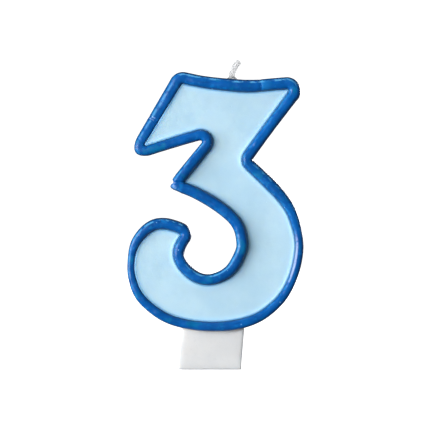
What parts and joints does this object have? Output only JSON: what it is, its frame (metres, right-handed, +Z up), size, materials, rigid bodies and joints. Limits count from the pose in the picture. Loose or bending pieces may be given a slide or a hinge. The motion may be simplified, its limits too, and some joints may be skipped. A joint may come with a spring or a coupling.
{
  "type": "number birthday candle",
  "caption": "Moulded wax birthday candle shaped as the figure 3, with a raised outline, a flat coloured face, a short wick and a stem that pushes into icing.",
  "frame": {"origin": "centre of the stem's foot, halfway through its thickness", "axes": "+Z up the candle, the coloured face looks along -Y, +X to the right of someone looking at the face"},
  "size_m": [0.0413, 0.0094, 0.0729],
  "materials": {
    "white_wax": "satin",
    "light_blue_wax": "satin",
    "dark_blue_wax": "gloss",
    "cotton_yarn": "matte",
    "wick_wax": "satin"
  },
  "bodies": {
    "root": {"wax_core": "white_wax", "face_fill": "light_blue_wax", "outline_bead": "dark_blue_wax", "wick_yarn_1": "cotton_yarn", "wick_yarn_2": "cotton_yarn", "wick_yarn_3": "cotton_yarn", "wick_coat": "wick_wax", "wick_collar": "white_wax"}
  },
  "joints": []
}
